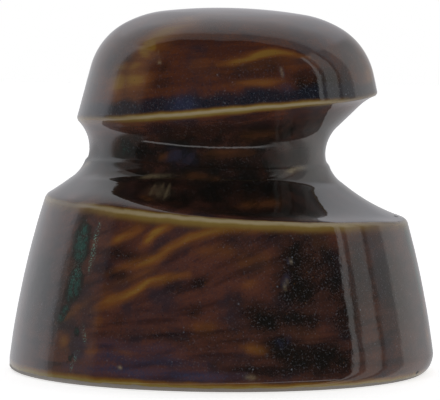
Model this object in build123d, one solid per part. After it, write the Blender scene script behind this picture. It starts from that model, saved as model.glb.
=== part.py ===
from build123d import *
from math import asin, cos, degrees, hypot, radians, sin, tan
import os

os.makedirs("parts", exist_ok=True)

# Fence insulator, pin type. Origin: centre of the base ring's plane. +Z runs up the pin's axis to
# the crown, and -Y is the side that faces the fence line. All lengths are in millimetres.

# Skirt: a flared bell that stands on its base ring.
BASE_RING_OUTER_R = 43.4
BASE_WIDEST_R = 46.3
BASE_WIDEST_Z = 2.7
SKIRT_MID_R, SKIRT_MID_Z = 43.4, 20.0
SKIRT_TOP_R, SKIRT_TOP_Z = 37.5, 41.5

# Crown: a dome on a slightly conical side. It sits a little off the pin's axis and leans to +X.
CROWN_TOP_Z = 78.9
CROWN_DOME_R = 112.0
CROWN_DOME_EDGE_R = 15.2
CROWN_HAUNCH_R = 23.3
CROWN_HAUNCH_END_DEG = 29.2
CROWN_CORNER_R = 15.2
CROWN_SIDE_SLOPE_DEG = 13.5
CROWN_CENTRE_X = 1.65
CROWN_LEAN_DEG = 1.2
CROWN_PIVOT_Z = 62.0
CROWN_ROOT_Z = 39.0

# Wire groove: turned off-centre and out of level, so it is deep at +X and shallow at -X.
# The points of its outline are (radius, height) pairs from the groove's own centre.
GROOVE_CENTRE_X = -3.53
GROOVE_CENTRE_Y = 0.5
GROOVE_CENTRE_Z = 47.7
GROOVE_TILT_DEG = 0.7
GROOVE_NOD_DEG = 0.28
NECK_R = 25.72
NECK_UPPER_ARC_R = 8.4
UPPER_FLARE_DEG = 45.0
UPPER_FLARE_LINE_R = 32.85
UPPER_LIP_ARC_R = 10.9
UPPER_LIP_DEG = 80.0
NECK_LOWER_ARC_R = 6.1
NECK_STEP = (25.99, -1.8, 26.6, -2.5)
LOWER_FLARE_NEAR = (27.75, -4.65, 29.8, -6.5)
LOWER_FLARE_FAR = (36.65, -10.95, 45.0, -14.2)
LOWER_FLARE_DEG = 70.0
GROOVE_OUTER_R = 50.0

# Edge roundings of the glazed porcelain.
CROWN_RIM_ROUND = 1.0
SHOULDER_ROUND = 1.8

# Where the two long glazed edges lie: their bands of height, and the least distance from the axis.
CROWN_RIM_BAND = (53.0, 62.0)
CROWN_RIM_LEAST_R = 28.0
SHOULDER_BAND = (31.0, 41.0)
SHOULDER_LEAST_R = 35.0

# Underside: the dry space inside the skirt, and the inner petticoat around the pin.
BASE_RING_INNER_R = 38.6
CAVITY_MOUTH_R = 36.2
CAVITY_TOP_R = 31.2
CAVITY_TOP_Z = 30.0
CAVITY_TOP_ROUND = 4.2
BASE_INNER_ROUND_Z = 2.6
PETTICOAT_R = 20.6
PETTICOAT_ROOT_R = 22.4
PETTICOAT_END_Z = 5.0
PETTICOAT_ROUND = 2.0

# Pin socket, cement and thimble.
SOCKET_R = 15.0
SOCKET_TOP_Z = 58.0
KEY_DEPTH = 0.7
KEY_HEIGHT = 3.0
KEY_LEVELS = (17.0, 29.0, 41.0)
THIMBLE_END_Z = 5.5
THIMBLE_TOP_Z = 55.0
THIMBLE_R = 12.0
THIMBLE_TOP_ROUND = 2.0
RING_CUT_R = 1.6
RING_DEPTH = 0.9
RING_PITCH = 5.6
RING_COUNT = 7
RING_FIRST_Z = 14.0
THREAD_MAJOR_R = 8.0
THREAD_MINOR_R = 6.9175
THREAD_PITCH = 2.0
THREAD_FLANK_DEG = 30.0
THREAD_TOP_Z = 42.0
DRILL_TOP_Z = 50.0
DRILL_POINT_DEG = 59.0
MOUTH_CHAMFER = 1.3
CORK_R = 12.0
SEAL_TOP_Z = 8.5
SEAL_END_Z = 6.2


def spin(outline):
    """Turn a closed outline, drawn as (radius, height), about the Z axis."""
    return revolve(Plane.XZ * make_face(outline), Axis.Z, 360)


def disc(radius, bottom, top):
    """An upright cylinder on the Z axis between two heights."""
    return Pos(0, 0, bottom) * Cylinder(radius, top - bottom, align=(Align.CENTER, Align.CENTER, Align.MIN))


def skirt_solid():
    """The bell's outside, solid right through, with a rounded base edge."""
    ring = Line((0, 0), (BASE_RING_OUTER_R, 0))
    edge = TangentArc((BASE_RING_OUTER_R, 0), (BASE_WIDEST_R, BASE_WIDEST_Z), tangent=(1, 0))
    side = ThreePointArc((BASE_WIDEST_R, BASE_WIDEST_Z), (SKIRT_MID_R, SKIRT_MID_Z), (SKIRT_TOP_R, SKIRT_TOP_Z))
    lid = Polyline((SKIRT_TOP_R, SKIRT_TOP_Z), (0, SKIRT_TOP_Z), (0, 0))
    return spin([ring, edge, side, lid])


def arc_step(centre_from, radius, start_deg, end_deg):
    """One arc of the crown's outline, from its start point. Angles are of the surface normal from +Z."""
    start, end = radians(start_deg), radians(end_deg)
    middle = (start + end) / 2
    centre = (centre_from[0] - radius * sin(start), centre_from[1] - radius * cos(start))
    via = (centre[0] + radius * sin(middle), centre[1] + radius * cos(middle))
    stop = (centre[0] + radius * sin(end), centre[1] + radius * cos(end))
    return ThreePointArc(centre_from, via, stop), stop


def crown_solid():
    """The mushroom crown, solid, running down past the groove on its conical side."""
    dome_edge_deg = degrees(asin(CROWN_DOME_EDGE_R / CROWN_DOME_R))
    apex = (0, CROWN_TOP_Z)
    dome, dome_edge = arc_step(apex, CROWN_DOME_R, 0, dome_edge_deg)
    haunch, haunch_end = arc_step(dome_edge, CROWN_HAUNCH_R, dome_edge_deg, CROWN_HAUNCH_END_DEG)
    corner, side_top = arc_step(haunch_end, CROWN_CORNER_R, CROWN_HAUNCH_END_DEG, 90 - CROWN_SIDE_SLOPE_DEG)
    drop = side_top[1] - CROWN_ROOT_Z
    root = (side_top[0] + drop * tan(radians(CROWN_SIDE_SLOPE_DEG)), CROWN_ROOT_Z)
    inside = Polyline(side_top, root, (0, CROWN_ROOT_Z), apex)
    crown = spin([dome, haunch, corner, inside])
    lean = Pos(CROWN_CENTRE_X, 0, CROWN_PIVOT_Z) * Rot(0, CROWN_LEAN_DEG, 0) * Pos(0, 0, -CROWN_PIVOT_Z)
    return lean * crown


def groove_cutter():
    """The ring of air that leaves the wire groove, about its own off-centre, tilted axis."""
    flare = radians(UPPER_FLARE_DEG)
    lip = radians(UPPER_LIP_DEG)
    below = radians(LOWER_FLARE_DEG)
    neck = (NECK_R, 0)
    neck_top = (NECK_R + NECK_UPPER_ARC_R * (1 - cos(flare)), NECK_UPPER_ARC_R * sin(flare))
    rise = (UPPER_FLARE_LINE_R - neck_top[0]) * cos(flare) / sin(flare)
    lip_start = (UPPER_FLARE_LINE_R, neck_top[1] + rise)
    lip_end = (
        lip_start[0] + UPPER_LIP_ARC_R * (cos(flare) - cos(lip)),
        lip_start[1] + UPPER_LIP_ARC_R * (sin(lip) - sin(flare)),
    )
    outer_top = (GROOVE_OUTER_R, lip_end[1] + (GROOVE_OUTER_R - lip_end[0]) * cos(lip) / sin(lip))
    step_top, step_foot = NECK_STEP[:2], NECK_STEP[2:]
    far_end = LOWER_FLARE_FAR[2:]
    outer_low = (GROOVE_OUTER_R, far_end[1] - (GROOVE_OUTER_R - far_end[0]) * cos(below) / sin(below))
    outline = [
        Line(outer_top, lip_end),
        TangentArc(lip_start, lip_end, tangent=(sin(flare), cos(flare))),
        Line(lip_start, neck_top),
        TangentArc(neck, neck_top, tangent=(0, 1)),
        TangentArc(neck, step_top, tangent=(0, -1)),
        Line(step_top, step_foot),
        ThreePointArc(step_foot, LOWER_FLARE_NEAR[:2], LOWER_FLARE_NEAR[2:]),
        ThreePointArc(LOWER_FLARE_NEAR[2:], LOWER_FLARE_FAR[:2], far_end),
        Line(far_end, outer_low),
        Line(outer_low, outer_top),
    ]
    place = Pos(GROOVE_CENTRE_X, GROOVE_CENTRE_Y, GROOVE_CENTRE_Z) * Rot(GROOVE_NOD_DEG, GROOVE_TILT_DEG, 0)
    seam_away_from_crown_seam = Rot(0, 0, 90)
    return place * seam_away_from_crown_seam * spin(outline)


def skirt_cavity():
    """The annular dry space between the skirt and the inner petticoat, open at the base."""
    below = -1.0
    ring_edge = TangentArc(
        (BASE_RING_INNER_R, 0), (CAVITY_MOUTH_R, BASE_INNER_ROUND_Z), tangent=(-1, 0)
    )
    outline = make_face(
        [
            Line((0, below), (BASE_RING_INNER_R, below)),
            Line((BASE_RING_INNER_R, below), (BASE_RING_INNER_R, 0)),
            ring_edge,
            Line((CAVITY_MOUTH_R, BASE_INNER_ROUND_Z), (CAVITY_TOP_R, CAVITY_TOP_Z)),
            Line((CAVITY_TOP_R, CAVITY_TOP_Z), (PETTICOAT_ROOT_R, CAVITY_TOP_Z)),
            Line((PETTICOAT_ROOT_R, CAVITY_TOP_Z), (PETTICOAT_R, PETTICOAT_END_Z)),
            Line((PETTICOAT_R, PETTICOAT_END_Z), (0, PETTICOAT_END_Z)),
            Line((0, PETTICOAT_END_Z), (0, below)),
        ]
    )
    roof_corners = [v for v in outline.vertices() if abs(v.Y - CAVITY_TOP_Z) < 0.01]
    outline = fillet(roof_corners, CAVITY_TOP_ROUND)
    end_corner = [v for v in outline.vertices() if abs(v.X - PETTICOAT_R) < 0.01 and abs(v.Y - PETTICOAT_END_Z) < 0.01]
    outline = fillet(end_corner, PETTICOAT_ROUND)
    return revolve(Plane.XZ * outline, Axis.Z, 360)


def socket_space():
    """The pin socket in the porcelain, with three shallow rings that key the cement."""
    space = disc(SOCKET_R, 0, SOCKET_TOP_Z)
    for level in KEY_LEVELS:
        space += disc(SOCKET_R + KEY_DEPTH, level - KEY_HEIGHT / 2, level + KEY_HEIGHT / 2)
    return space


def is_long_edge(edge, lowest, highest, least_radius):
    """Is this edge a cut line of the groove, in this band of heights and outside this radius?"""
    middle = edge.position_at(0.5)
    in_band = lowest < middle.Z < highest
    return edge.geom_type == GeomType.BSPLINE and in_band and hypot(middle.X, middle.Y) > least_radius


def porcelain_body():
    """The glazed porcelain: crown, wire groove, skirt, inner petticoat and keyed pin socket."""
    body = skirt_solid() + crown_solid() - groove_cutter()
    rim = body.edges().filter_by(lambda edge: is_long_edge(edge, *CROWN_RIM_BAND, CROWN_RIM_LEAST_R))
    body = fillet(rim, CROWN_RIM_ROUND)
    shoulder = body.edges().filter_by(lambda edge: is_long_edge(edge, *SHOULDER_BAND, SHOULDER_LEAST_R))
    body = fillet(shoulder, SHOULDER_ROUND)
    return body - skirt_cavity() - socket_space()


def thimble_outside():
    """The thimble's outside, solid: a plain cup with rounded rings turned into it for the cement."""
    shape = disc(THIMBLE_R, THIMBLE_END_Z, THIMBLE_TOP_Z)
    shape = fillet(shape.edges().group_by(Axis.Z)[-1], THIMBLE_TOP_ROUND)
    for index in range(RING_COUNT):
        level = RING_FIRST_Z + index * RING_PITCH
        shape -= Pos(0, 0, level) * Torus(THIMBLE_R + RING_CUT_R - RING_DEPTH, RING_CUT_R)
    return shape


def drilled_hole():
    """The blind hole for the tap: a minor-diameter drilling with a drill point and a chamfered mouth."""
    point_height = THREAD_MINOR_R / tan(radians(DRILL_POINT_DEG))
    mouth_r = THREAD_MINOR_R + MOUTH_CHAMFER
    outline = Polyline(
        (0, THIMBLE_END_Z - 1),
        (mouth_r, THIMBLE_END_Z - 1),
        (mouth_r, THIMBLE_END_Z),
        (THREAD_MINOR_R, THIMBLE_END_Z + MOUTH_CHAMFER),
        (THREAD_MINOR_R, DRILL_TOP_Z),
        (0, DRILL_TOP_Z + point_height),
        close=True,
    )
    return spin(outline)


def thread_ridge_space():
    """The helical space that the tap cuts outside the minor diameter."""
    start_z = THIMBLE_END_Z - THREAD_PITCH
    path = Pos(0, 0, start_z) * Helix(THREAD_PITCH, THREAD_TOP_Z - start_z, THREAD_MINOR_R)
    depth = THREAD_MAJOR_R - THREAD_MINOR_R
    root_half = THREAD_PITCH / 16
    mouth_half = root_half + depth * tan(radians(THREAD_FLANK_DEG))
    inset = 0.2
    inset_half = mouth_half + inset * tan(radians(THREAD_FLANK_DEG))
    section = make_face(
        Polyline(
            (THREAD_MINOR_R - inset, -inset_half),
            (THREAD_MAJOR_R, -root_half),
            (THREAD_MAJOR_R, root_half),
            (THREAD_MINOR_R - inset, inset_half),
            close=True,
        )
    )
    return sweep(Pos(0, 0, start_z) * Plane.XZ * section, path, is_frenet=True)


def threaded_thimble():
    """The zinc cup set in the porcelain, tapped for the pin."""
    return thimble_outside() - drilled_hole() - thread_ridge_space()


def cork_cushion():
    """The disc above the thimble that takes up the pin's and cement's growth with heat."""
    return disc(CORK_R, THIMBLE_TOP_Z, SOCKET_TOP_Z)


def seal_ring():
    """The bitumen ring that closes the cement joint's mouth."""
    return disc(SOCKET_R, SEAL_END_Z, SEAL_TOP_Z) - disc(THIMBLE_R, SEAL_END_Z, SEAL_TOP_Z)


def cement_sleeve():
    """The cement that fills the socket around the thimble and the cork, above the seal."""
    space = socket_space() - disc(SOCKET_R + 1, 0, SEAL_TOP_Z)
    return space - thimble_outside() - cork_cushion()


export_step(porcelain_body(), "parts/porcelain_body.step")
export_step(cement_sleeve(), "parts/cement_sleeve.step")
export_step(threaded_thimble(), "parts/threaded_thimble.step")
export_step(cork_cushion(), "parts/cork_cushion.step")
export_step(seal_ring(), "parts/seal_ring.step")
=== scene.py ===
from math import cos, pi, radians, sin, tan

import bpy
import numpy as np
from mathutils import Matrix, Vector


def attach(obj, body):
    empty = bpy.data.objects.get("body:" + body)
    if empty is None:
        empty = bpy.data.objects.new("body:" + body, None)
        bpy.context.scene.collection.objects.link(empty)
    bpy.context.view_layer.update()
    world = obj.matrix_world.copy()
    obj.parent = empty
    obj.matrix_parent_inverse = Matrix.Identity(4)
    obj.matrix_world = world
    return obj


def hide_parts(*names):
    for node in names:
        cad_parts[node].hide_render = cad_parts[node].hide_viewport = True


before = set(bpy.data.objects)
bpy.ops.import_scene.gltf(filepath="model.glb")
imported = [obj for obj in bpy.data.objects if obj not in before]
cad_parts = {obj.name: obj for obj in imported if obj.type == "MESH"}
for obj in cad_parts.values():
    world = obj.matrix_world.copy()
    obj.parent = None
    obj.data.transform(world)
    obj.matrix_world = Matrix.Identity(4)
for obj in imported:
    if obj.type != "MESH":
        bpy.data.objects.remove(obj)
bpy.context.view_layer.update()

MM = 0.001


# ---------------------------------------------------------------- the porcelain, in mm and degrees

CROWN_TOP = 78.9
DOME_RADIUS, DOME_END = 112.0, 7.8
HAUNCH_RADIUS, HAUNCH_END = 23.3, 29.2
CORNER_RADIUS, CORNER_END = 15.2, 76.5
CROWN_DROP = 26.0
CROWN_CENTRE_X, CROWN_LEAN, CROWN_PIVOT = 1.65, 1.2, 62.0

# The groove's outline is drawn from its own centre. Points are (radius, height).
GROOVE_CENTRE = (-3.53, 0.5, 47.7)
GROOVE_TILT, GROOVE_NOD = 0.7, 0.28
NECK_RADIUS = 25.72
UPPER_ARC, UPPER_FLARE, UPPER_FLARE_RADIUS = 8.4, 45, 32.85
LIP_ARC, LIP_SLOPE, LIP_REACH = 10.9, 84, 8.0
LOWER_ARC, STEP_DEPTH = 6.1, 1.8
STEP_FOOT = (26.6, -2.5)
NEAR_SLOPE = ((27.75, -4.65), (29.8, -6.5))
FAR_SLOPE = ((36.65, -10.95), (45.0, -14.2))

SKIRT_SIDE = ((46.3, 2.7), (43.4, 20.0), (37.5, 41.5))
SKIRT_LOW = 4.5
BASE_INNER = 38.6
SOCKET, SOCKET_TOP = 15.0, 58.0

# The hand-finished edges: how far the front of the shoulder rises and the front of the rim drops.
SHOULDER_RISE, RIM_DROP, EDGE_REACH = 0.70, 0.50, 4.0
FRONT_MIDDLE, FRONT_HALF, FRONT_FADE = 6, 74, 30
# The slope under the neck is fuller at the left: (distance in from the shoulder, rise)
LEFT_RISES = ((3.2, 0.45), (8.0, 0.9))
LEFT_MIDDLE, LEFT_SPREAD = -42, 30
# Every edge is rounded over a window of the first width, and the rim and shoulder over a wider one.
SOFT_SKIN, SOFT_EDGE, SOFT_REACH = 0.2, 1.5, 1.3
BASE_EDGE = 5.0

COLUMNS = 288
FRONT_SHARE = 0.6
# Rows of the mesh down to the rim, the neck, the shoulder, the base edge and the floor.
CROWN_ROWS, UPPER_ROWS, LOWER_ROWS, SKIRT_ROWS, EDGE_ROWS = 92, 44, 52, 84, 16
# Rows from the rim to the neck while a column is still dense.
NECK_ROW = 499
# Points on the underside lie this far past every edge, as far as the glaze can tell.
UNDERSIDE = 40.0


# ---------------------------------------------------------------- outlines, as (radius, height) in mm

def turn_arc(start, radius, start_deg, end_deg, count):
    """Points of an arc whose surface normal turns from start_deg to end_deg, measured from straight up."""
    angle = np.radians(np.linspace(start_deg, end_deg, count))
    centre = np.array(start) - radius * np.array([np.sin(angle[0]), np.cos(angle[0])])
    return centre + radius * np.stack([np.sin(angle), np.cos(angle)], axis=1)


def arc_through(a, b, c, count):
    """Points of the arc from a through b to c."""
    a, b, c = (np.array(p, float) for p in (a, b, c))
    system = 2 * np.array([b - a, c - a])
    centre = np.linalg.solve(system, [b @ b - a @ a, c @ c - a @ a])
    angles = np.unwrap([np.arctan2(*(p - centre)[::-1]) for p in (a, b, c)])
    angle = np.linspace(angles[0], angles[2], count)
    return centre + np.hypot(*(a - centre)) * np.stack([np.cos(angle), np.sin(angle)], axis=1)


def join(*runs):
    """One run of points from several that meet end to end."""
    return np.vstack([runs[0]] + [run[1:] for run in runs[1:]])


def crown_outline():
    """From the top of the crown, down its side, to well past the groove."""
    dome = turn_arc((0, CROWN_TOP), DOME_RADIUS, 0, DOME_END, 160)
    haunch = turn_arc(dome[-1], HAUNCH_RADIUS, DOME_END, HAUNCH_END, 90)
    corner = turn_arc(haunch[-1], CORNER_RADIUS, HAUNCH_END, CORNER_END, 160)
    foot = corner[-1] + CROWN_DROP * np.array([tan(radians(90 - CORNER_END)), -1])
    return join(dome, haunch, corner, np.linspace(corner[-1], foot, 260))


def groove_outline():
    """From above the crown's rim, down round the neck, and out under the shoulder's edge."""
    flare, lip_slope = radians(UPPER_FLARE), radians(LIP_SLOPE)
    turn = np.linspace(flare, 0, 90)
    upper = np.stack([NECK_RADIUS + UPPER_ARC * (1 - np.cos(turn)), UPPER_ARC * np.sin(turn)], axis=1)
    line_end = np.array([UPPER_FLARE_RADIUS, upper[0, 1] + UPPER_FLARE_RADIUS - upper[0, 0]])
    turn = np.linspace(lip_slope, flare, 80)
    lip = line_end + LIP_ARC * np.stack([cos(flare) - np.cos(turn), np.sin(turn) - sin(flare)], axis=1)
    far = lip[0] + LIP_REACH * np.array([1, 1 / tan(lip_slope)])
    turn = np.linspace(0, np.arcsin(STEP_DEPTH / LOWER_ARC), 30)
    lower = np.stack([NECK_RADIUS + LOWER_ARC * (1 - np.cos(turn)), -LOWER_ARC * np.sin(turn)], axis=1)
    return join(
        np.linspace(far, lip[0], 30),
        lip,
        np.linspace(lip[-1], upper[0], 60),
        upper,
        lower,
        np.linspace(lower[-1], STEP_FOOT, 12),
        arc_through(STEP_FOOT, *NEAR_SLOPE, 60),
        arc_through(NEAR_SLOPE[-1], *FAR_SLOPE, 160),
    )


def skirt_radius(z, azimuth):
    """Outside radius of the skirt, whose base edge is rounder on the +X side."""
    side = arc_through(*SKIRT_SIDE, 300)
    edge_height = 2.6 + 1.7 * np.cos(azimuth)
    ring = 43.6 - 0.6 * np.cos(azimuth)
    on_side = np.interp(z, side[:, 1], side[:, 0])
    edge_top = np.interp(edge_height, side[:, 1], side[:, 0])
    lift = np.clip(z / edge_height, 0, 1)
    on_edge = ring + (edge_top - ring) * np.sqrt(1 - (1 - lift) ** 2)
    return np.where(z < edge_height, on_edge, on_side)


# ---------------------------------------------------------------- the porcelain's surface

def rotation(degrees, axis):
    return Matrix.Rotation(radians(degrees), 4, axis)


LEAN_PIVOT = Matrix.Translation((0, 0, -CROWN_PIVOT))
CROWN_FRAME = Matrix.Translation((CROWN_CENTRE_X, 0, CROWN_PIVOT)) @ rotation(CROWN_LEAN, "Y") @ LEAN_PIVOT
GROOVE_FRAME = Matrix.Translation(GROOVE_CENTRE) @ rotation(GROOVE_TILT, "Y") @ rotation(GROOVE_NOD, "X")


def placed(matrix, points):
    m = np.array(matrix)
    return points @ m[:3, :3].T + m[:3, 3]


def ring_points(outline, azimuth):
    """A turned outline as points [column, row, xyz], one column for each azimuth."""
    radius, height = outline[..., 0], outline[..., 1]
    x = radius * np.cos(azimuth)[:, None]
    y = radius * np.sin(azimuth)[:, None]
    return np.stack([x, y, np.broadcast_to(height, x.shape)], axis=-1)


def cylindrical(points):
    return np.hypot(points[..., 0], points[..., 1]), np.arctan2(points[..., 1], points[..., 0])


def front_degrees(points):
    """Degrees round from the front (-Y), positive toward +X."""
    return np.degrees(np.arctan2(points[..., 0], -points[..., 1]))


def half_turn(degrees):
    """The same direction, from -180 to 180."""
    return (degrees + 180) % 360 - 180


def azimuth_columns():
    """Azimuths all round, closer together at the front (-Y)."""
    fine = np.linspace(-pi, pi, 20001)
    density = 1 + FRONT_SHARE * np.cos(fine)
    total = np.concatenate([[0], np.cumsum((density[1:] + density[:-1]) / 2)])
    steps = np.linspace(0, total[-1], COLUMNS, endpoint=False)
    return np.interp(steps, total, fine) - pi / 2


def run_lengths(points):
    """The distance of each point along a run of points."""
    return np.concatenate([[0], np.cumsum(np.linalg.norm(np.diff(points, axis=0), axis=1))])


def resampled(points, stations, wanted):
    """The run's points at the wanted stations, from the station of each of its points."""
    return np.stack([np.interp(wanted, stations, points[:, i]) for i in range(points.shape[1])], axis=-1)


def crossing(gap):
    """For each column, the row, with its fraction, where the gap first falls below zero."""
    after = np.argmax(gap < 0, axis=1)
    columns = np.arange(len(gap))
    before = gap[columns, after - 1]
    return after - 1 + before / (before - gap[columns, after])


def crown_columns(azimuth, groove):
    """Crown points down to the rim, where the groove cuts it."""
    points = placed(CROWN_FRAME, ring_points(crown_outline(), azimuth))
    local = placed(GROOVE_FRAME.inverted(), points)
    radius, _ = cylindrical(local)
    limit = np.interp(local[..., 2], groove[::-1, 1], groove[::-1, 0])
    above_neck = local[..., 2] > 1.0
    rim_row = crossing(np.where(above_neck, limit - radius, 1.0))
    rows = np.linspace(0, 1, 700) * rim_row[:, None]
    places = np.arange(points.shape[1])
    return np.array([resampled(column, places, wanted) for column, wanted in zip(points, rows)])


def groove_columns(rim, groove):
    """Groove points from the rim down to where it meets the skirt."""
    local = placed(GROOVE_FRAME.inverted(), rim)
    _, azimuth = cylindrical(local)
    length = run_lengths(groove)
    start = np.interp(local[:, 2], groove[::-1, 1], length[::-1])
    neck = np.interp(0.0, groove[::-1, 1], length[::-1])
    tail = np.linspace(neck, length[-1], 1500)
    slope = placed(GROOVE_FRAME, ring_points(resampled(groove, length, tail), azimuth))
    radius, turn = cylindrical(slope)
    meeting = crossing(skirt_radius(slope[..., 2], turn) - radius)
    end = np.interp(meeting, np.arange(len(tail)), tail)
    upper = start[:, None] + (neck - start)[:, None] * np.linspace(0, 1, NECK_ROW + 1)
    lower = neck + (end - neck)[:, None] * np.linspace(0, 1, 700)[1:]
    outline = resampled(groove, length, np.concatenate([upper, lower], axis=1))
    return placed(GROOVE_FRAME, ring_points(outline, azimuth))


def skirt_columns(shoulder):
    """Skirt points from the shoulder's edge down to the base ring."""
    _, azimuth = cylindrical(shoulder)
    side = SKIRT_LOW + (shoulder[:, 2] - SKIRT_LOW)[:, None] * np.linspace(1, 0, 700)
    edge = SKIRT_LOW * np.linspace(1, 0, 300)[1:] ** 2 + 0 * azimuth[:, None]
    z = np.concatenate([side, edge], axis=1)
    return ring_points(np.stack([skirt_radius(z, azimuth[:, None]), z], axis=-1), azimuth)


def underside_columns(base):
    """From the base ring's outer edge, through the cavity and round the petticoat, into the socket."""
    _, azimuth = cylindrical(base)
    outline = join(
        arc_through((BASE_INNER, 0), (37.0, 0.8), (36.2, 2.6), 8),
        np.linspace((36.2, 2.6), (31.9, 25.9), 10),
        arc_through((31.9, 25.9), (30.6, 28.9), (27.4, 30.0), 8),
        arc_through((26.8, 30.0), (23.4, 28.6), (22.1, 25.6), 8),
        np.linspace((22.1, 25.6), (20.7, 7.0), 8),
        arc_through((20.7, 7.0), (20.1, 5.6), (18.7, 5.0), 7),
        np.linspace((18.7, 5.0), (SOCKET, 5.0), 3),
        np.linspace((SOCKET, 5.0), (SOCKET, SOCKET_TOP), 3),
        np.linspace((SOCKET, SOCKET_TOP), (0.0, SOCKET_TOP), 2),
    )
    start = np.hypot(base[:, 0], base[:, 1])
    ring = start[:, None] + (BASE_INNER - start)[:, None] * np.linspace(0, 1, 4)[1:-1]
    ring_face = ring_points(np.stack([ring, 0 * ring], axis=-1), azimuth)
    return np.concatenate([ring_face, ring_points(outline, azimuth)], axis=1)


def smoothstep(share):
    share = np.clip(share, 0, 1)
    return share * share * (3 - 2 * share)


def bell(distance, width):
    return np.exp(-((distance / width) ** 2))


def eased(count, sharpness=0.75):
    """Shares from 0 to 1, closer together at both ends."""
    share = np.linspace(0, 1, count)
    return (1 - sharpness) * share + sharpness * smoothstep(share)


def soften(points, s, width):
    """Rounds a column: each point becomes the mean over a window of that width along it."""
    pieces = (points[1:] + points[:-1]) / 2 * np.diff(s)[:, None]
    total = np.concatenate([[[0, 0, 0]], np.cumsum(pieces, axis=0)])
    low, high = np.maximum(s - width / 2, 0), np.minimum(s + width / 2, s[-1])
    return (resampled(total, s, high) - resampled(total, s, low)) / (high - low)[:, None]


def hand_shaped(points, s, rim, shoulder, degrees):
    """Lifts and lowers a column as the finished piece is, by its degrees round from the front."""
    left = bell(degrees - LEFT_MIDDLE, LEFT_SPREAD)
    front = smoothstep((FRONT_HALF - abs(degrees - FRONT_MIDDLE)) / FRONT_FADE)
    inward = np.maximum(shoulder - s, 0)
    for reach, rise in LEFT_RISES:
        points[:, 2] += rise * left * inward / reach * np.exp(1 - inward / reach)
    points[:, 2] += front * SHOULDER_RISE * bell(s - shoulder, EDGE_REACH)
    points[:, 2] -= front * RIM_DROP * bell(s - rim, EDGE_REACH)
    return points


def mesh_stations(rim, neck, shoulder, end):
    """Where the mesh's rows lie along a column, closer together at the rim, neck, shoulder and base."""
    edge_start = end - BASE_EDGE
    return np.concatenate(
        [
            rim * eased(CROWN_ROWS),
            rim + (neck - rim) * eased(UPPER_ROWS)[1:],
            neck + (shoulder - neck) * eased(LOWER_ROWS)[1:],
            shoulder + (edge_start - shoulder) * eased(SKIRT_ROWS)[1:],
            edge_start + BASE_EDGE * np.linspace(0, 1, EDGE_ROWS)[1:],
        ]
    )


def porcelain_surface():
    """Vertices [column, row, xyz] in mm, and how far each is past the rim, the shoulder and the base edge."""
    azimuth = azimuth_columns()
    groove = groove_outline()
    crown = crown_columns(azimuth, groove)
    cut = groove_columns(crown[:, -1], groove)
    skirt = skirt_columns(cut[:, -1])
    under = underside_columns(skirt[:, -1])
    outside = np.concatenate([crown, cut[:, 1:], skirt[:, 1:]], axis=1)
    rim_row = crown.shape[1] - 1
    shoulder_row = rim_row + cut.shape[1] - 1
    rows, marks = [], []
    for column in outside:
        s = run_lengths(column)
        rim, neck, shoulder, end = s[rim_row], s[rim_row + NECK_ROW], s[shoulder_row], s[-1]
        width = SOFT_SKIN + SOFT_EDGE * (bell(s - rim, SOFT_REACH) + bell(s - shoulder, SOFT_REACH))
        smooth = soften(column, s, np.minimum(width, 2 * np.minimum(s, end - s) + 1e-6))
        degrees = front_degrees(column[shoulder_row])
        smooth = hand_shaped(smooth, s, rim, shoulder, degrees)
        stations = mesh_stations(rim, neck, shoulder, end)
        rows.append(resampled(smooth, s, stations))
        glaze_reach = 0.5 + 0.45 * sin(radians(degrees))
        marks.append(np.stack([stations - rim, stations - shoulder, stations - end - glaze_reach], axis=-1))
    marks = np.concatenate([np.array(marks), np.full(under.shape, UNDERSIDE)], axis=1)
    return np.concatenate([np.array(rows), under], axis=1), marks


def grid_mesh(name, vertices):
    """A closed mesh from columns of points that run from a top point to a bottom point."""
    columns, rows = vertices.shape[0], vertices.shape[1] - 2
    top, bottom = vertices[:, 0].mean(axis=0), vertices[:, -1].mean(axis=0)
    body = vertices[:, 1:-1].reshape(-1, 3)
    index = np.arange(columns * rows).reshape(columns, rows)
    following = np.roll(index, -1, axis=0)
    quads = np.stack([index[:, :-1], index[:, 1:], following[:, 1:], following[:, :-1]], axis=-1)
    top_index, bottom_index = columns * rows, columns * rows + 1
    faces = quads.reshape(-1, 4).tolist()
    faces += [[top_index, int(a), int(b)] for a, b in zip(index[:, 0], following[:, 0])]
    faces += [[bottom_index, int(b), int(a)] for a, b in zip(index[:, -1], following[:, -1])]
    mesh = bpy.data.meshes.new(name)
    mesh.from_pydata(np.vstack([body, top, bottom]) * MM, [], faces)
    mesh.shade_smooth()
    mesh.update()
    obj = bpy.data.objects.new(name, mesh)
    bpy.context.scene.collection.objects.link(obj)
    return obj


def store(obj, name, values):
    """A float for each vertex, from values [column, row] for the whole grid."""
    flat = np.concatenate([values[:, 1:-1].reshape(-1), [values[:, 0].mean(), values[:, -1].mean()]])
    attribute = obj.data.attributes.new(name, "FLOAT", "POINT")
    attribute.data.foreach_set("value", flat.astype(np.float32))
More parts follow.
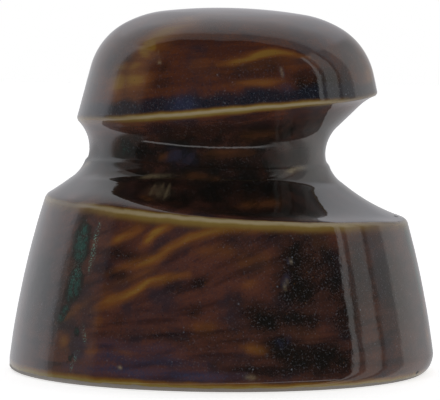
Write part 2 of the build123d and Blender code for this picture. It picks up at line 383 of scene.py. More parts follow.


# ---------------------------------------------------------------- the glaze's flow, with painted highlights, a painted reflection and painted shade among it, as masks on the surface

# Strokes placed one by one. Each has its points, as (degrees round from the front, height in mm), then its
# half width in mm and its strength.
AMBER_FLOW = [
    ([(-43, 67.5), (-39, 69.5), (-34, 72.3), (-27, 75.2), (-15, 77.3)], 4.2, 0.8),
    ([(-39, 68.5), (-36, 70.8), (-31, 72.2)], 3.0, 1.3),
    ([(-25, 76.3), (-20, 76.9)], 2.4, 1.0),
    ([(-52, 67.5), (-48, 64.0), (-47, 60.0)], 4.0, 0.9),
    ([(-43, 67.5), (-39, 64.0), (-38, 60.5)], 4.0, 0.9),
    ([(-3, 67.4), (4, 68.2), (9, 68.9), (15, 69.4), (22, 69.6), (29, 69.5), (36, 68.6)], 1.0, 1.2),
    ([(1, 67.2), (14, 68.0), (28, 68.2), (38, 67.2)], 2.2, 0.35),
    ([(-1, 63.3), (8, 63.6), (15, 63.6), (23, 63.6)], 0.9, 0.75),
    ([(-16, 66.5), (0, 66.8)], 2.4, 0.25),
    ([(-47, 54.6), (-40, 54.3), (-34, 54.0)], 1.5, 0.3),
    ([(5, 51.5), (18, 52.5), (30, 53.5)], 2.6, 0.2),
    ([(-13, 48.0), (-2, 48.2), (10, 48.4), (20, 48.0)], 1.2, 0.28),
    ([(-32, 47.0), (-26, 47.3)], 1.0, 0.3),
    ([(-20, 43.6), (-9, 43.4), (2, 43.0)], 1.1, 0.25),
    ([(4, 37.8), (14, 38.2), (25, 38.8)], 2.0, 0.3),
    ([(-30, 39.5), (-24, 38.6)], 1.3, 0.25),
    ([(-36, 29.8), (-29, 32.1), (-23, 34.6)], 1.3, 0.8),
    ([(-25, 29.4), (-20.5, 32.3), (-14, 34.2)], 1.1, 1.0),
    ([(-34, 23.4), (-26, 26.0), (-19, 27.6), (-14, 30.0), (-9, 32.0), (-2, 33.0), (12, 33.4)], 1.3, 0.8),
    ([(-39, 16.0), (-31, 18.6), (-25, 20.6), (-22, 22.2), (-17, 22.8), (-10, 24.2)], 1.3, 0.95),
    ([(-37, 17.5), (-34, 20.4), (-29, 22.3), (-22, 24.6), (-16, 25.4)], 1.2, 0.4),
    ([(-51, 12.4), (-46, 14.6), (-42.5, 16.5), (-38, 18.4)], 1.0, 0.7),
    ([(-48, 9.6), (-46, 7.6)], 1.9, 0.65),
    ([(-38, 9.0), (-34.5, 7.2)], 1.9, 0.65),
    ([(-36, 12.5), (-35, 15.5)], 1.8, 0.45),
    ([(-9, 13.0), (-1, 13.4)], 1.3, 0.45),
    ([(-31, 8.2), (-23, 7.5)], 1.2, 0.3),
    ([(-9, 28.8), (0, 29.3), (6, 29.0)], 1.5, 0.4),
    ([(3, 27.5), (9, 26.8), (15, 28.0)], 2.6, 0.35),
    ([(7, 23.2), (8.5, 21.6)], 2.2, 0.4),
    ([(5, 9.6), (9, 9.2), (12.5, 8.0)], 1.6, 0.65),
    ([(14, 5.5), (22, 5.2)], 1.0, 0.25),
    ([(26, 31.0), (33, 30.0)], 2.2, 0.3),
    ([(17, 12.4), (28, 12.0)], 1.8, 0.25),
    ([(22, 22.0), (23, 21.6)], 0.7, 0.6),
]
DARK_FLOW = [
    ([(58, 30.0), (60, 18.0), (58, 8.0)], 13.0, 0.75),
    ([(40, 31.0), (44, 14.0)], 6.0, 0.6),
    ([(-62, 32.0), (-64, 18.0), (-62, 8.0)], 9.0, 0.6),
    ([(75, 66.0), (60, 70.0)], 6.0, 0.5),
    ([(-75, 66.0), (-66, 62.0)], 6.0, 0.5),
    ([(60, 44.0), (45, 48.0)], 6.0, 0.5),
    ([(-36, 28.2), (-30, 27.8), (-24, 27.2)], 1.6, 0.7),
    ([(-37, 24.0), (-32, 23.4), (-27, 23.6)], 1.6, 0.6),
    ([(-17, 22.0), (-11, 20.8)], 2.0, 0.45),
    ([(-7.5, 24.0), (-6, 21.5)], 2.2, 0.65),
    ([(-9, 16.5), (-6, 15.6)], 2.0, 0.5),
    ([(-22, 11.8), (-12, 10.8), (-4, 10.6)], 2.0, 0.4),
    ([(-31, 13.8), (-27, 14.0)], 1.8, 0.35),
    ([(-33, 6.3), (-12, 6.0), (8, 6.0)], 1.2, 0.55),
    ([(-40, 11.2), (-28, 10.6), (-20, 10.8)], 1.4, 0.35),
    ([(-2, 34.0), (6, 30.0), (12, 24.0)], 5.0, 0.35),
    ([(-8, 12.0), (2, 11.0), (9, 14.0)], 3.5, 0.45),
    ([(-3, 65.6), (10, 66.4), (26, 66.2)], 2.6, 0.4),
    ([(16, 32.5), (24, 27.0), (22, 22.0), (26, 17.0)], 6.5, 1.0),
    ([(26, 33.0), (31, 24.0), (36, 18.0), (38, 8.0)], 6.5, 0.85),
    ([(4, 18.0), (11, 14.5), (19, 15.5), (30, 16.0)], 4.2, 0.9),
    ([(9, 12.5), (15, 9.0), (22, 7.0), (40, 6.6)], 4.4, 1.0),
    ([(-2, 5.0), (10, 4.6), (25, 4.8), (38, 5.0)], 2.2, 0.75),
    ([(-27, 67.0), (-24, 65.6)], 2.2, 0.45),
    ([(-30, 64.6), (-22, 62.4)], 2.8, 0.4),
    ([(-6, 65.6), (8, 65.8), (22, 65.4)], 1.5, 0.35),
    ([(-9, 76.6), (-7, 73.5)], 2.4, 0.4),
    ([(24, 62.2), (33, 62.8), (42, 63.6), (55, 64.5)], 3.2, 0.85),
    ([(-54, 50.0), (-44, 49.6), (-36, 49.0)], 4.0, 0.8),
    ([(-33, 54.6), (-10, 53.6), (8, 54.6)], 3.0, 0.5),
    ([(-53.5, 33.0), (-52.5, 25.0), (-52.5, 16.0)], 0.7, 0.8),
    ([(-50.6, 33.5), (-49.6, 27.0)], 0.5, 0.7),
    ([(-43.0, 30.5), (-43.2, 20.0)], 0.6, 0.6),
    ([(-8, 46.0), (20, 45.6), (38, 46.5)], 2.8, 0.6),
    ([(-16, 40.6), (0, 40.6), (20, 41.4), (34, 40.0)], 3.6, 0.85),
    ([(-4, 36.8), (10, 36.2), (30, 36.6)], 1.4, 0.8),
]
BLUE_FLOW = [
    ([(-21, 58.8), (-15, 58.8), (-11, 58.6)], 1.9, 0.75),
    ([(-24, 48.6), (-22, 46.5)], 2.2, 0.5),
    ([(-19, 47.5), (-16, 46.5)], 2.0, 0.4),
    ([(-46, 3.9), (-25, 3.6), (-8, 3.5), (6, 3.3)], 1.2, 0.9),
    ([(-42, 9.4), (-28, 8.6), (-10, 8.4)], 1.3, 0.4),
    ([(-42, 6.6), (-24, 6.0), (-4, 6.0)], 1.4, 0.6),
    ([(21, 62.2), (26, 61.8)], 1.0, 0.4),
    ([(19, 27.5), (18.4, 26.6)], 0.6, 0.6),
    ([(18.5, 24.6), (17, 21.8)], 0.6, 0.6),
    ([(14, 11.0), (16, 8.8)], 0.7, 0.35),
    ([(18, 11.5), (17.2, 9.6)], 0.6, 0.3),
    ([(22.4, 67.0), (22.6, 64.2)], 0.5, 0.4),
]
GREEN_FLOW = [
    ([(-47.5, 34.0), (-46.5, 29.0), (-45.5, 25.0)], 2.8, 1.0),
    ([(-45.5, 25.0), (-45.8, 21.0), (-47.5, 16.5)], 2.0, 1.0),
    ([(-47.5, 16.5), (-50.5, 12.0)], 1.2, 0.8),
    ([(-42.5, 12.5), (-43, 10.5)], 1.0, 0.6),
    ([(-44, 6.0), (-43, 5.4)], 1.6, 0.7),
    ([(-52, 49.5), (-44, 49.0)], 2.6, 0.6),
]
SPARKLE_FLOW = [
    ([(-40.4, 33.6), (-41, 31.0), (-40.2, 27.5), (-41, 24.0), (-40.5, 22.0)], 0.35, 1.0),
    ([(-46.5, 33.0), (-46, 25.0), (-46.8, 19.0)], 1.4, 0.12),
    ([(-41.4, 14.6), (-39.8, 11.5), (-39, 9.8)], 0.3, 0.7),
    ([(-41, 8.0), (-42, 5.0), (-42.5, 3.0)], 0.3, 0.5),
]
# Pale cream strokes. The first two are painted highlights along the step's crease under the neck, partly thin
# glaze over its edge. The next four are a painted reflection: a pale patch with vertical streaks on the
# shoulder, left of the front. The rest are pale glaze.
PALE_GLAZE_AND_PAINTED_HIGHLIGHTS = [
    ([(-37, 43.3), (-28, 43.5), (-19, 43.8)], 0.4, 0.45),
    ([(30, 44.2), (38, 44.6), (50, 45.4)], 0.45, 0.7),
    ([(-25.5, 41.8), (-23.5, 39.6)], 2.0, 0.16),
    ([(-27.0, 42.2), (-26.5, 39.6)], 0.3, 0.35),
    ([(-24.5, 42.4), (-24.0, 39.2)], 0.3, 0.35),
    ([(-22.0, 42.5), (-21.3, 39.0)], 0.3, 0.40),
    ([(19.4, 27.6), (18.8, 26.4)], 0.25, 0.5),
    ([(18.4, 23.6), (17.4, 21.0)], 0.25, 0.45),
    ([(22.4, 67.0), (22.6, 64.2)], 0.25, 0.4),
    ([(-27.6, 68.2), (-27.4, 67.2)], 0.35, 0.9),
    ([(6.0, 3.0), (8.5, 3.1)], 0.5, 0.35),
    ([(-27.5, 4.4), (-27.0, 4.2)], 0.4, 0.8),
    ([(-29.0, 69.6), (-28.7, 69.5)], 0.3, 0.9),
]
WORN_FLOW = [
    ([(14, 47.0), (34, 47.0), (60, 48.0)], 3.2, 1.3),
]
# Chips and pinholes, painted near black: painted shade in place of their hollows, which the mesh does not
# have.
CHIP_AND_PINHOLE_SHADE_FLOW = [
    ([(80.0, 34.2), (86.0, 34.0)], 0.55, 1.4),
    ([(72.0, 33.6), (73.0, 33.2)], 0.4, 1.2),
    ([(66.0, 1.2), (68.2, 1.7)], 0.5, 1.4),
    ([(-30.2, 76.4), (-29.8, 76.4)], 0.4, 1.6),
    ([(-79.8, 9.0), (-79.6, 9.0)], 0.4, 1.6),
]
FLOWS = {
    "amber": AMBER_FLOW,
    "dark": DARK_FLOW,
    "blue": BLUE_FLOW,
    "green": GREEN_FLOW,
    "sparkle": SPARKLE_FLOW,
    "pale": PALE_GLAZE_AND_PAINTED_HIGHLIGHTS,
    "worn": WORN_FLOW,
    "chip_shade": CHIP_AND_PINHOLE_SHADE_FLOW,
}
EDGE_MARKS = ("from_rim", "from_shoulder", "from_base")
# The flow repeats at these turns round the piece, in degrees. Chips are at the front only.
FLOW_TURNS = (0, 124, 239)
CHIP_TURNS = (0,)

WANDER, WANDER_LENGTH = 0.35, 9
TIP_SHARE, TIP_STRENGTH, TIP_WIDTH = 0.25, 0.45, 0.4
# Where the glaze ran thick over the edges: degrees past each turn, spread, and how much thicker.
THICK_MIDDLE, THICK_SPREAD, THICK_DEPTH = 62, 24, 0.8
# Slight waves in the surface: (height in mm, wavelength in mm, seed)
WAVES = ((0.012, 24, 11), (0.007, 7, 12))


def ripple(points, wavelength, seed, waves=7):
    """A smooth random value from about -1 to 1 at each point, from plane waves of about that length."""
    rng = np.random.default_rng(seed)
    total = np.zeros(points.shape[:-1])
    for _ in range(waves):
        heading = rng.normal(size=3)
        heading /= np.linalg.norm(heading)
        length = wavelength * rng.uniform(0.7, 1.5)
        total += np.sin(points @ heading * 2 * pi / length + rng.uniform(0, 2 * pi))
    return total / np.sqrt(waves)


def on_surface(surface, degrees, height):
    """The surface's point at these degrees round and this height."""
    row = len(surface[0]) // 3
    column = surface[np.argmin(np.abs(half_turn(front_degrees(surface[:, row]) - degrees)))]
    radius = np.interp(-height, -column[:, 2], np.hypot(column[:, 0], column[:, 1]))
    return np.array([radius * sin(radians(degrees)), -radius * cos(radians(degrees)), height])


def paint_stroke(cover, points, line, half_width, strength):
    """Raises the cover of the points near the line, which narrows and fades toward both ends."""
    stops = run_lengths(line)
    for start, end, before, after in zip(line, line[1:], stops, stops[1:]):
        span, length = end - start, after - before
        near = np.linalg.norm(points - (start + end) / 2, axis=1) < length / 2 + 3 * half_width
        share = np.clip((points[near] - start) @ span / length**2, 0, 1)
        away = np.linalg.norm(points[near] - start - share[:, None] * span, axis=1)
        place = (before + share * length) / stops[-1]
        taper = TIP_STRENGTH + (1 - TIP_STRENGTH) * smoothstep(np.minimum(place, 1 - place) / TIP_SHARE)
        fade = bell(away, half_width * (TIP_WIDTH + (1 - TIP_WIDTH) * taper))
        cover[near] = np.maximum(cover[near], strength * taper * fade)


def flow_mask(outside, strokes, turns):
    """How strongly the strokes cover each vertex of the outside."""
    wander = np.stack([ripple(outside, WANDER_LENGTH, seed) for seed in (1, 2, 3)], axis=-1)
    flat = (outside + WANDER * wander).reshape(-1, 3)
    cover = np.zeros(len(flat))
    for turn in turns:
        for points, half_width, strength in strokes:
            line = [on_surface(outside, half_turn(degrees + turn), height) for degrees, height in points]
            paint_stroke(cover, flat, np.array(line), half_width, strength)
    return cover.reshape(outside.shape[:-1])


def thin_glaze(degrees):
    """How thin the glaze is over the edges, round the piece: full at the front, less where it ran thick."""
    thick = sum(bell(half_turn(degrees - turn - THICK_MIDDLE), THICK_SPREAD) for turn in FLOW_TURNS)
    return 1 - THICK_DEPTH * np.minimum(thick, 1)


def uneven(surface, outside_rows):
    """The turned surface with the slight waves of a hand-finished, glazed piece."""
    along_rows = np.gradient(surface, axis=1)
    round_columns = np.roll(surface, -1, axis=0) - np.roll(surface, 1, axis=0)
    normal = np.cross(along_rows, round_columns)
    normal /= np.maximum(np.linalg.norm(normal, axis=-1, keepdims=True), 1e-9)
    outward = np.sign((normal[..., :2] * surface[..., :2]).sum(axis=-1) + normal[..., 2] * 0.01)
    # the waves die out toward the top's middle and the base edge
    fade = np.zeros(surface.shape[:-1])
    row_share = np.arange(outside_rows) / outside_rows
    fade[:, :outside_rows] = np.clip(8 * row_share, 0, 1) * np.clip(40 * (1 - row_share), 0, 1)
    height = sum(rise * ripple(surface, wavelength, seed) for rise, wavelength, seed in WAVES)
    return surface + normal * (outward * fade * height)[..., None]


def make_porcelain():
    """The porcelain's mesh, with the marks and masks that its glaze reads."""
    surface, marks = porcelain_surface()
    outside_rows = np.argmax(marks[0, :, 2] == UNDERSIDE)
    surface = uneven(surface, outside_rows)
    obj = grid_mesh("porcelain_glazed", surface)
    for i, mark in enumerate(EDGE_MARKS):
        store(obj, mark, marks[..., i])
    for name, strokes in FLOWS.items():
        mask = np.zeros(surface.shape[:-1])
        turns = CHIP_TURNS if name == "chip_shade" else FLOW_TURNS
        mask[:, :outside_rows] = flow_mask(surface[:, :outside_rows], strokes, turns)
        store(obj, name, mask)
    store(obj, "thin", thin_glaze(front_degrees(surface)))
    return obj


porcelain = make_porcelain()
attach(porcelain, "root")
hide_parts("porcelain_body")


# ---------------------------------------------------------------- node helpers

class Graph:
    """Adds nodes to one node tree: a socket is linked, and a number or colour is set."""

    def __init__(self, tree):
        self.tree = tree

    def put(self, socket, value):
        if isinstance(value, bpy.types.NodeSocket):
            self.tree.links.new(value, socket)
        else:
            socket.default_value = value

    def add(self, kind, *values, **settings):
        node = self.tree.nodes.new(kind)
        for name, value in settings.items():
            setattr(node, name, value)
        for socket, value in zip(node.inputs, values):
            if value is not None:
                self.put(socket, value)
        return node

    def math(self, operation, *values):
        return self.add("ShaderNodeMath", *values, operation=operation).outputs[0]

    def times(self, a, b):
        return self.math("MULTIPLY", a, b)

    def most(self, a, b):
        return self.math("MAXIMUM", a, b)

    def scaled_onto(self, value, scale, base):
        """value * scale + base"""
        return self.math("MULTIPLY_ADD", value, scale, base)

    def step(self, value, low, high, to_low=0.0, to_high=1.0):
        """Rises smoothly from to_low to to_high as the value goes from low to high."""
        values = (value, low, high, to_low, to_high)
        return self.add("ShaderNodeMapRange", *values, interpolation_type="SMOOTHSTEP").outputs[0]

    def ramp(self, value, stops):
        """A colour for each value from 0 to 1, from (place, colour) stops."""
        node = self.add("ShaderNodeValToRGB", value)
        elements = node.color_ramp.elements
        while len(elements) < len(stops):
            elements.new(0.5)
        for element, (place, colour) in zip(elements, stops):
            element.position = place
            element.color = (*colour, 1)
        return node.outputs[0]

    def mix(self, share, a, b):
        node = self.add("ShaderNodeMix", data_type="RGBA")
        self.put(node.inputs[0], share)
        self.put(node.inputs[6], a)
        self.put(node.inputs[7], b)
        return node.outputs[2]


def principled(name):
    material = bpy.data.materials.new(name)
    material.use_nodes = True
    tree = material.node_tree
    return material, Graph(tree), tree.nodes["Principled BSDF"]


def object_place(g):
    return g.add("ShaderNodeTexCoord").outputs["Object"]


def attribute(g, name):
    return g.add("ShaderNodeAttribute", attribute_name=name).outputs["Fac"]


def grain(g, size_mm, detail=2.0, roughness=0.5, distortion=0.0, where=None):
    """Noise from 0 to 1 whose largest features are about size_mm wide."""
    if where is None:
        where = object_place(g)
    values = (where, None, 1000 / size_mm, detail, roughness, None, None, distortion)
    return g.add("ShaderNodeTexNoise", *values).outputs[0]


def fibrous(g, lean_deg, stretch):
    """Noise drawn out into long fibres that lean by these degrees."""
    turn = (0, radians(lean_deg), 0)
    drawn = g.add("ShaderNodeMapping", object_place(g), None, turn, stretch, vector_type="TEXTURE")
    return grain(g, 3.4, 4, 0.5, 0.9, drawn.outputs[0])


def cells(g, size_mm):
    """Cells about size_mm wide: the distance from a cell's middle, and one random number for each cell."""
    cell = g.add("ShaderNodeTexVoronoi", object_place(g), None, 1000 / size_mm)
    number = g.add("ShaderNodeSeparateColor", cell.outputs["Color"]).outputs[0]
    return cell.outputs["Distance"], number


def specks(g, size_mm, amount):
    """Small round specks: 1 inside a speck. The amount is the share of cells that have one."""
    distance, number = cells(g, 4 * size_mm)
    return g.times(g.step(distance, 0.06, 0.16, 1.0, 0.0), g.math("LESS_THAN", number, amount))


def emboss(g, shader, height, strength, depth):
    """Bumps the surface by a height from 0 to 1, where 1 stands for the depth in metres."""
    bump = g.add("ShaderNodeBump", strength, depth)
    g.put(bump.inputs["Height"], height)
    g.put(shader.inputs["Normal"], bump.outputs[0])


# ---------------------------------------------------------------- the glaze

TAWNY = (0.078, 0.024, 0.0105, 1)
RED_BROWN = (0.076, 0.0275, 0.0175, 1)
DEEP_BROWN = (0.030, 0.012, 0.010, 1)
PLUM = (0.021, 0.016, 0.021, 1)
ORANGE = (0.128, 0.047, 0.0135, 1)
AMBER = (0.185, 0.104, 0.020, 1)
BLUE_BLACK = (0.009, 0.011, 0.017, 1)
COBALT = (0.028, 0.033, 0.066, 1)
GREEN_BLACK = (0.0060, 0.0056, 0.0046, 1)
BOTTLE_GREEN = (0.007, 0.032, 0.026, 1)
TEAL = (0.22, 0.60, 0.50, 1)
CREAM = (0.300, 0.240, 0.140, 1)
RIM_CREAM = (0.215, 0.172, 0.098, 1)
OLIVE = (0.165, 0.118, 0.032, 1)
TAN = (0.125, 0.056, 0.011, 1)
BISQUE = (0.185, 0.160, 0.135, 1)
DARK_BISQUE = (0.12, 0.105, 0.09, 1)
DUST = (0.16, 0.18, 0.21, 1)
PIT = (0.006, 0.005, 0.005, 1)

# Widths of the bare line over each edge, in mm: above the edge, at its core, and below.
RIM_WIDTHS = (1.2, 0.55, 1.9)
SHOULDER_WIDTHS = (0.9, 0.6, 2.2)
# Pale specks: (size in mm, share of cells, strength, colour)
PALE_SPECKS = ((0.40, 0.12, 0.5, DUST), (0.26, 0.4, 0.3, DUST), (0.33, 0.3, 0.35, TAN))
GLOSSY, DULLER = 0.035, 0.46


def streaked_ground(g, height, fibres, fine, wobble):
    """The brown ground: redder on the skirt, streaked, with plum clouds and a fine dark mottle."""
    ground = g.mix(g.step(g.scaled_onto(wobble, 0.02, height), 0.052, 0.064), RED_BROWN, TAWNY)
    on_crown = g.step(height, 0.056, 0.062)
    colour = g.mix(g.most(g.step(fibres, 0.28, 0.60), g.times(on_crown, 0.5)), DEEP_BROWN, ground)
    clouds = grain(g, 9.0, 4, 0.55, 0.4)
    colour = g.mix(g.times(g.step(clouds, 0.46, 0.66), 0.75), colour, PLUM)
    return g.mix(g.times(g.step(fine, 0.45, 0.72), 0.55), colour, PLUM)


def amber_runs(g, colour, amber, fibres):
    """Amber runs, feathered along their length."""
    broken = g.times(amber, g.step(fibres, 0.36, 0.62, 0.75, 1.25))
    colour = g.mix(g.times(g.step(broken, 0.0, 0.75), 0.9), colour, ORANGE)
    return g.mix(g.times(g.step(broken, 0.55, 1.25), 0.85), colour, AMBER)


def green_run(g, colour, green, sparkle, fine):
    """A dark green run with bright crystals in it."""
    patches = g.step(grain(g, 1.8, 4, 0.7), 0.35, 0.62, 0.4, 1.1)
    patchy = g.times(patches, g.step(fine, 0.3, 0.7, 0.7, 1.1))
    colour = g.mix(g.step(green, 0.15, 0.5, 0.0, 0.85), colour, GREEN_BLACK)
    colour = g.mix(g.step(g.times(green, patchy), 0.25, 0.8), colour, BOTTLE_GREEN)
    crystals = g.step(grain(g, 0.30, 1, 0.8), 0.50, 0.66)
    return g.mix(g.times(sparkle, crystals), colour, TEAL)


def speckled(g, colour, heavy):
    """Pale specks where the glaze is heavy, and dark pits all over."""
    for size_mm, amount, strength, tint in PALE_SPECKS:
        speck = g.times(specks(g, size_mm, amount), strength)
        colour = g.mix(g.times(speck, heavy), colour, tint)
    speckle = g.step(grain(g, 0.42, 1, 0.8), 0.56, 0.74, 0.0, 0.18)
    colour = g.mix(g.times(speckle, heavy), colour, DUST)
    return g.mix(g.times(specks(g, 0.24, 0.35), 0.6), colour, PIT)


def drawn_back(g, colour, pale, distance, thin, widths):
    """The glaze thins over an edge, from tan through olive to a pale line."""
    above, core, below = widths
    bands = (
        (TAN, (-above, -0.3 * above), (core, core + below)),
        (OLIVE, (-0.7 * above, -0.15 * above), (core, core + 0.75 * below)),
        (pale, (-0.4 * above, 0.0), (0.6 * core, 1.6 * core)),
    )
    for tint, start, end in bands:
        band = g.times(g.step(distance, *start), g.step(distance, *end, 1.0, 0.0))
        colour = g.mix(g.times(band, thin), colour, tint)
    return colour


def bare_ring(g, colour, low):
    """The glaze stops above the base ring: its colour, and 1 where the clay is bare."""
    colour = g.mix(g.step(low, -4.6, -3.7), colour, TAN)
    colour = g.mix(g.step(low, -3.9, -3.2), colour, OLIVE)
    bare = g.step(low, -3.1, -2.7)
    return g.mix(bare, colour, g.mix(grain(g, 1.5, 4, 0.7), BISQUE, DARK_BISQUE)), bare


def brown_glaze():
    """A thick brown glaze: amber where it ran thin, blue-black where it pooled, and cream off the edges."""
    material, g, shader = principled("brown_glaze")
    height = g.add("ShaderNodeSeparateXYZ", object_place(g)).outputs["Z"]
    rim, shoulder, base = (attribute(g, name) for name in EDGE_MARKS)
    amber, dark, blue, green, sparkle, pale, worn, chip_shade = (attribute(g, name) for name in FLOWS)
    thin = attribute(g, "thin")

    # the fibres lean on the upper skirt and lie level elsewhere
    leaning = fibrous(g, -26, (3.0, 3.0, 0.55))
    level = fibrous(g, -5, (3.4, 3.4, 0.5))
    upper_skirt = g.times(g.step(height, 0.012, 0.022), g.step(height, 0.040, 0.056, 1.0, 0.0))
    fibres = g.scaled_onto(g.math("SUBTRACT", leaning, level), upper_skirt, level)
    blots = grain(g, 4.5, 5, 0.6, 0.5)
    fine = grain(g, 0.5, 2, 0.7)
    wobble = g.math("SUBTRACT", grain(g, 5.0, 3, 0.6), 0.5)

    # dark glaze lies thick in the groove, and thin amber runs show over it
    colour = streaked_ground(g, height, fibres, fine, wobble)
    in_groove = g.times(g.step(rim, 2.0, 9.0), g.step(shoulder, -4.0, -1.0, 1.0, 0.0))
    colour = g.mix(g.times(in_groove, g.step(blots, 0.30, 0.62, 0.55, 0.95)), colour, GREEN_BLACK)
    colour = amber_runs(g, colour, amber, fibres)

    # pooled dark glaze, in patches and above the rim and the base
    murky = g.times(dark, g.step(blots, 0.25, 0.72, 0.74, 1.15))
    colour = g.mix(g.math("MINIMUM", murky, 0.95), colour, GREEN_BLACK)
    above_rim = g.step(g.scaled_onto(wobble, 3.0, rim), -4.4, -2.4)
    above_rim = g.times(above_rim, g.math("LESS_THAN", rim, 0.0))
    above_base = g.step(g.scaled_onto(wobble, 2.0, base), -5.0, -3.4)
    pooled = g.most(above_rim, g.times(above_base, 0.75))
    colour = g.mix(g.times(pooled, g.step(fine, 0.3, 0.7, 1.0, 0.75)), colour, BLUE_BLACK)
    colour = g.mix(g.times(blue, g.step(fine, 0.3, 0.7, 0.5, 0.95)), colour, COBALT)
    colour = green_run(g, colour, green, sparkle, fine)

    heavy = g.math("MINIMUM", g.math("ADD", g.most(pooled, dark), 0.35), 1.0)
    colour = speckled(g, colour, g.times(heavy, g.step(in_groove, 0.0, 1.0, 1.0, 0.5)))
    # pale cream strokes: pale glaze, with painted highlights along the step's crease and a painted reflection
    # on the shoulder among them
    colour = g.mix(g.times(pale, g.step(fine, 0.3, 0.6, 0.4, 1.0)), colour, CREAM)

    # the glaze has drawn back from the edges, and stops above the bare base ring
    colour = drawn_back(g, colour, RIM_CREAM, g.scaled_onto(wobble, 0.8, rim), thin, RIM_WIDTHS)
    colour = drawn_back(g, colour, CREAM, g.scaled_onto(wobble, 0.8, shoulder), thin, SHOULDER_WIDTHS)
    colour, bare = bare_ring(g, colour, g.scaled_onto(wobble, 1.2, base))
    # the chips and pinholes are painted near black, as painted shade for their hollows, and are duller
    chip_painted_shade = g.step(chip_shade, 0.35, 0.8)
    g.put(shader.inputs["Base Color"], g.mix(chip_painted_shade, colour, PIT))

    dull = g.most(g.most(bare, chip_painted_shade), g.times(worn, 0.55))
    g.put(shader.inputs["Roughness"], g.scaled_onto(dull, DULLER, GLOSSY))
    peel = g.scaled_onto(grain(g, 1.6, 2, 0.5), 1.0, g.times(fine, 0.12))
    emboss(g, shader, peel, 0.05, 0.0003)
    return material


# ---------------------------------------------------------------- the inner materials

def cement():
    """Sandy grey cement with dark grains."""
    material, g, shader = principled("grey_cement")
    sand = grain(g, 0.9, 5, 0.75)
    colour = g.mix(g.step(sand, 0.35, 0.65), (0.20, 0.19, 0.175, 1), (0.34, 0.325, 0.30, 1))
    colour = g.mix(g.times(specks(g, 0.35, 0.5), 0.8), colour, (0.07, 0.065, 0.06, 1))
    g.put(shader.inputs["Base Color"], colour)
    g.put(shader.inputs["Roughness"], g.step(sand, 0.3, 0.7, 0.8, 0.98))
    emboss(g, shader, sand, 0.6, 0.0004)
    return material


def zinc():
    """Dull cast zinc with a faint crystal pattern and white bloom."""
    material, g, shader = principled("dull_zinc")
    _, tone = cells(g, 2.5)
    bloom = g.step(grain(g, 3.0, 5, 0.7), 0.45, 0.7)
    colour = g.mix(tone, (0.30, 0.31, 0.32, 1), (0.42, 0.43, 0.44, 1))
    colour = g.mix(g.times(bloom, 0.6), colour, (0.55, 0.55, 0.54, 1))
    g.put(shader.inputs["Base Color"], colour)
    g.put(shader.inputs["Metallic"], g.step(bloom, 0.0, 1.0, 0.95, 0.25))
    g.put(shader.inputs["Roughness"], g.step(tone, 0.0, 1.0, 0.38, 0.55))
    return material


def cork():
    """Pressed cork granules with dark flecks of bark."""
    material, g, shader = principled("pressed_cork")
    distance, tone = cells(g, 1.4)
    colour = g.mix(tone, (0.26, 0.13, 0.055, 1), (0.45, 0.27, 0.13, 1))
    colour = g.mix(g.step(grain(g, 0.5, 3, 0.7), 0.55, 0.75), colour, (0.10, 0.045, 0.02, 1))
    g.put(shader.inputs["Base Color"], colour)
    g.put(shader.inputs["Roughness"], g.step(tone, 0.0, 1.0, 0.8, 0.95))
    emboss(g, shader, distance, 0.5, 0.0003)
    return material


def bitumen():
    """Black bitumen, part glossy, as it was poured."""
    material, g, shader = principled("black_bitumen")
    flow = grain(g, 2.5, 3, 0.5, 0.6)
    colour = g.mix(g.step(flow, 0.35, 0.7), (0.008, 0.007, 0.007, 1), (0.03, 0.027, 0.025, 1))
    g.put(shader.inputs["Base Color"], colour)
    g.put(shader.inputs["Roughness"], g.step(flow, 0.3, 0.7, 0.25, 0.5))
    emboss(g, shader, flow, 0.4, 0.0005)
    return material


def dress(node, material):
    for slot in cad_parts[node].material_slots:
        slot.material = material


porcelain.data.materials.append(brown_glaze())
dress("cement_sleeve", cement())
dress("threaded_thimble", zinc())
dress("cork_cushion", cork())
dress("seal_ring", bitumen())


# ---------------------------------------------------------------- floor, light, camera

FLOOR_HALF = 2.0
WHITE = (1, 1, 1, 1)
DARK = (0.02, 0.02, 0.02)
# A bright line below the horizon, at the front: its colour, slope down, half width and softness.
TABLE_EDGE, TABLE_EDGE_DEG, TABLE_EDGE_HALF, TABLE_EDGE_SOFT = (1.7, 1.7, 1.7, 1), -33, 0.022, 0.02
# How fast the roof's front edge slants back toward the left, in degrees, and where that starts.
ROOF_SLANT, ROOF_SLANT_START = -28.0, -2.8
# (degrees round from the front, colour)
TENT_WALLS = [
    (-180, (0.50, 0.50, 0.52)),
    (-150, (0.84, 0.84, 0.87)),
    (-128, (1.02, 1.03, 1.07)),
    (-113, (1.08, 1.10, 1.15)),
    (-108.5, (0.86, 0.88, 0.92)),
    (-107, (0.55, 0.56, 0.56)),
    (-104, (0.50, 0.50, 0.49)),
    (-102.5, (0.32, 0.31, 0.29)),
    (-84, (0.25, 0.24, 0.23)),
    (-76, (0.2, 0.2, 0.2)),
    (-72, DARK),
    (75, DARK),
    (75.5, (1.15, 1.15, 1.12)),
    (79.6, (1.15, 1.15, 1.12)),
    (80.1, (0.30, 0.27, 0.25)),
    (83, (0.40, 0.36, 0.33)),
    (83.6, (0.95, 0.93, 0.89)),
    (95.5, (0.90, 0.89, 0.85)),
    (96.2, (0.30, 0.26, 0.22)),
    (99, (0.35, 0.32, 0.29)),
    (101.5, (0.6, 0.59, 0.58)),
    (114.5, (0.6, 0.59, 0.58)),
    (116, (1.02, 0.99, 0.96)),
    (132, (0.85, 0.83, 0.82)),
    (150, (0.55, 0.54, 0.54)),
    (180, (0.50, 0.50, 0.52)),
]
# (degrees forward of straight up, colour)
TENT_ROOF = [
    (-180, (0.45, 0.45, 0.47)),
    (-75, (0.55, 0.55, 0.58)),
    (-50, (1.0, 1.0, 1.04)),
    (-18, (0.95, 0.95, 0.96)),
    (-12, (0.80, 0.79, 0.79)),
    (-10, (0.48, 0.47, 0.46)),
    (3.6, (0.45, 0.43, 0.41)),
    (4.4, DARK),
    (180, DARK),
]


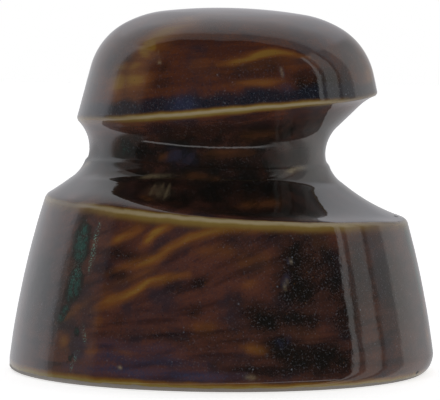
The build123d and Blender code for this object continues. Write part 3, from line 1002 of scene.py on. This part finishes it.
def make_floor():
    corners = [(x * FLOOR_HALF, y * FLOOR_HALF, 0) for x, y in ((-1, -1), (1, -1), (1, 1), (-1, 1))]
    mesh = bpy.data.meshes.new("floor")
    mesh.from_pydata(corners, [], [(0, 1, 2, 3)])
    floor = bpy.data.objects.new("floor", mesh)
    bpy.context.scene.collection.objects.link(floor)
    floor.visible_glossy = False
    material, _, shader = principled("pale_floor")
    shader.inputs["Base Color"].default_value = (0.85, 0.85, 0.85, 1)
    shader.inputs["Roughness"].default_value = 0.9
    shader.inputs["Emission Color"].default_value = WHITE
    shader.inputs["Emission Strength"].default_value = 0.65
    mesh.materials.append(material)


def grey_ramp(g, angle, stops):
    """A colour for each angle from -180 to 180 degrees."""
    share = g.scaled_onto(angle, 1 / 360, 0.5)
    return g.ramp(share, [(degrees / 360 + 0.5, colour) for degrees, colour in stops])


def build_world():
    """A white light tent, open at the front, with two dark seams in its right wall and a slanted roof."""
    world = bpy.data.worlds.new("light_tent")
    bpy.context.scene.world = world
    world.use_nodes = True
    world.node_tree.nodes.clear()
    g = Graph(world.node_tree)
    direction = g.add("ShaderNodeTexCoord").outputs["Generated"]
    x, y, z = g.add("ShaderNodeSeparateXYZ", direction).outputs
    front = g.times(y, -1.0)
    round_deg = g.times(g.math("ARCTAN2", x, front), 180 / pi)
    over_deg = g.times(g.math("ARCTAN2", front, z), 180 / pi)
    slant = g.most(g.scaled_onto(x, ROOF_SLANT, ROOF_SLANT_START), 0.0)
    walls = grey_ramp(g, round_deg, TENT_WALLS)
    roof = grey_ramp(g, g.math("ADD", over_deg, slant), TENT_ROOF)
    lean = g.math("SUBTRACT", z, g.math("ABSOLUTE", x))
    tent = g.mix(g.step(lean, -0.05, 0.05), walls, roof)
    off = g.math("ABSOLUTE", g.math("SUBTRACT", z, sin(radians(TABLE_EDGE_DEG))))
    on_edge = g.step(off, TABLE_EDGE_HALF, TABLE_EDGE_HALF + TABLE_EDGE_SOFT, 1.0, 0.0)
    tent = g.mix(g.times(g.step(front, 0.2, 0.3), on_edge), tent, TABLE_EDGE)
    camera_ray = g.add("ShaderNodeLightPath").outputs["Is Camera Ray"]
    background = g.add("ShaderNodeBackground", g.mix(camera_ray, tent, WHITE), 1.0)
    g.add("ShaderNodeOutputWorld", background.outputs[0])


def fill_light():
    """A wide soft light from the front, which leaves no reflection of its own."""
    data = bpy.data.lights.new("fill", "AREA")
    data.size = 2.0
    data.energy = 16.0
    light = bpy.data.objects.new("fill", data)
    place = Vector((0, -1.5, 0.55))
    light.matrix_world = Matrix.Translation(place) @ (-place).to_track_quat("-Z", "Y").to_matrix().to_4x4()
    light.visible_glossy = False
    bpy.context.scene.collection.objects.link(light)


def place_camera():
    """From the front (-Y), aimed at the middle of the piece from a little above it."""
    elevation, roll, distance = radians(3.6), radians(0.51), 0.80
    target = Vector((-0.69, 0, 37.06)) * MM
    forward = Vector((0, cos(elevation), -sin(elevation)))
    right, up = Vector((1, 0, 0)), Vector((0, sin(elevation), cos(elevation)))
    right_rolled = right * cos(roll) + up * sin(roll)
    up_rolled = up * cos(roll) - right * sin(roll)
    data = bpy.data.cameras.new("camera")
    data.sensor_width = 36.0
    data.lens = 300.24
    data.clip_start = 0.01
    camera = bpy.data.objects.new("camera", data)
    matrix = Matrix((right_rolled, up_rolled, -forward)).transposed().to_4x4()
    matrix.translation = target - forward * distance
    camera.matrix_world = matrix
    bpy.context.scene.collection.objects.link(camera)
    bpy.context.scene.camera = camera


make_floor()
build_world()
fill_light()
place_camera()
bpy.context.scene.view_settings.view_transform = "Standard"
